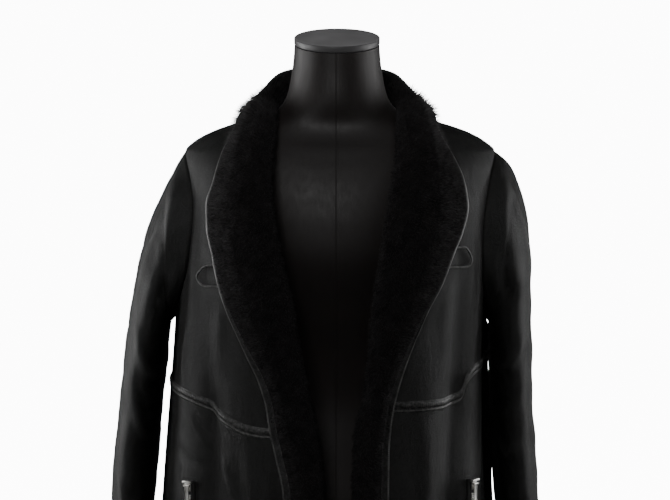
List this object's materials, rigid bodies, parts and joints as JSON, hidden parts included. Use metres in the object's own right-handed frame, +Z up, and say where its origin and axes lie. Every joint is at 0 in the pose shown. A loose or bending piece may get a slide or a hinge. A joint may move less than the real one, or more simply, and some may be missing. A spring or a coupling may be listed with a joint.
{
  "type": "shearling leather jacket on a limbless dress form",
  "caption": "Open shearling leather jacket with a wide fur-lined shawl collar, button loops and zipped pockets, standing on a limbless dress form with a round base.",
  "frame": {"origin": "centre of the base's underside", "axes": "+Z up, the jacket's front faces -Y, the wearer's left is at +X"},
  "size_m": [0.5794, 0.3364, 0.9768],
  "materials": {
    "black_leather": "semi-matt, fine grain",
    "black_fur": "short dense sheared wool",
    "black_satin": "stretched satin",
    "grey_black_cap": "satin",
    "bright_nickel": "polished nickel plate",
    "black_paint": "satin paint",
    "zip_tape": "woven"
  },
  "bodies": {
    "jacket_and_form": {"form_base": "black_paint", "form_pole": "black_paint", "form_torso": "black_satin", "form_neck_cap": "grey_black_cap", "back": "black_leather", "front_upper_left": "black_leather", "front_upper_right": "black_leather", "front_lower_left": "black_leather", "front_lower_right": "black_leather", "seam_band_left": "black_leather", "seam_band_right": "black_leather", "sleeve_left": "black_leather", "sleeve_right": "black_leather", "collar_leather_left": "black_leather", "collar_leather_right": "black_leather", "collar_fur_left": "black_fur", "collar_fur_right": "black_fur", "front_fur_left": "black_fur", "front_fur_right": "black_fur", "edge_binding_left": "black_leather", "edge_binding_right": "black_leather", "button_loop_left": "black_leather", "button_loop_right": "black_leather", "pocket_zip_left": "zip_tape", "pocket_zip_right": "zip_tape", "zip_slider_left": "bright_nickel", "zip_slider_right": "bright_nickel"},
    "pull_right": {"zip_pull_right": "bright_nickel"},
    "pull_left": {"zip_pull_left": "bright_nickel"}
  },
  "joints": [
    {"name": "pull_right_swing", "type": "hinge", "parent": "jacket_and_form", "child": "pull_right", "pos_m": [-0.19092, -0.11497, 0.40032], "axis": [-0.869, 0.4948, 0], "range_deg": [-4, 140]},
    {"name": "pull_left_swing", "type": "hinge", "parent": "jacket_and_form", "child": "pull_left", "pos_m": [0.17677, -0.10365, 0.4003], "axis": [-0.6971, -0.717, 0], "range_deg": [-4, 140]}
  ]
}
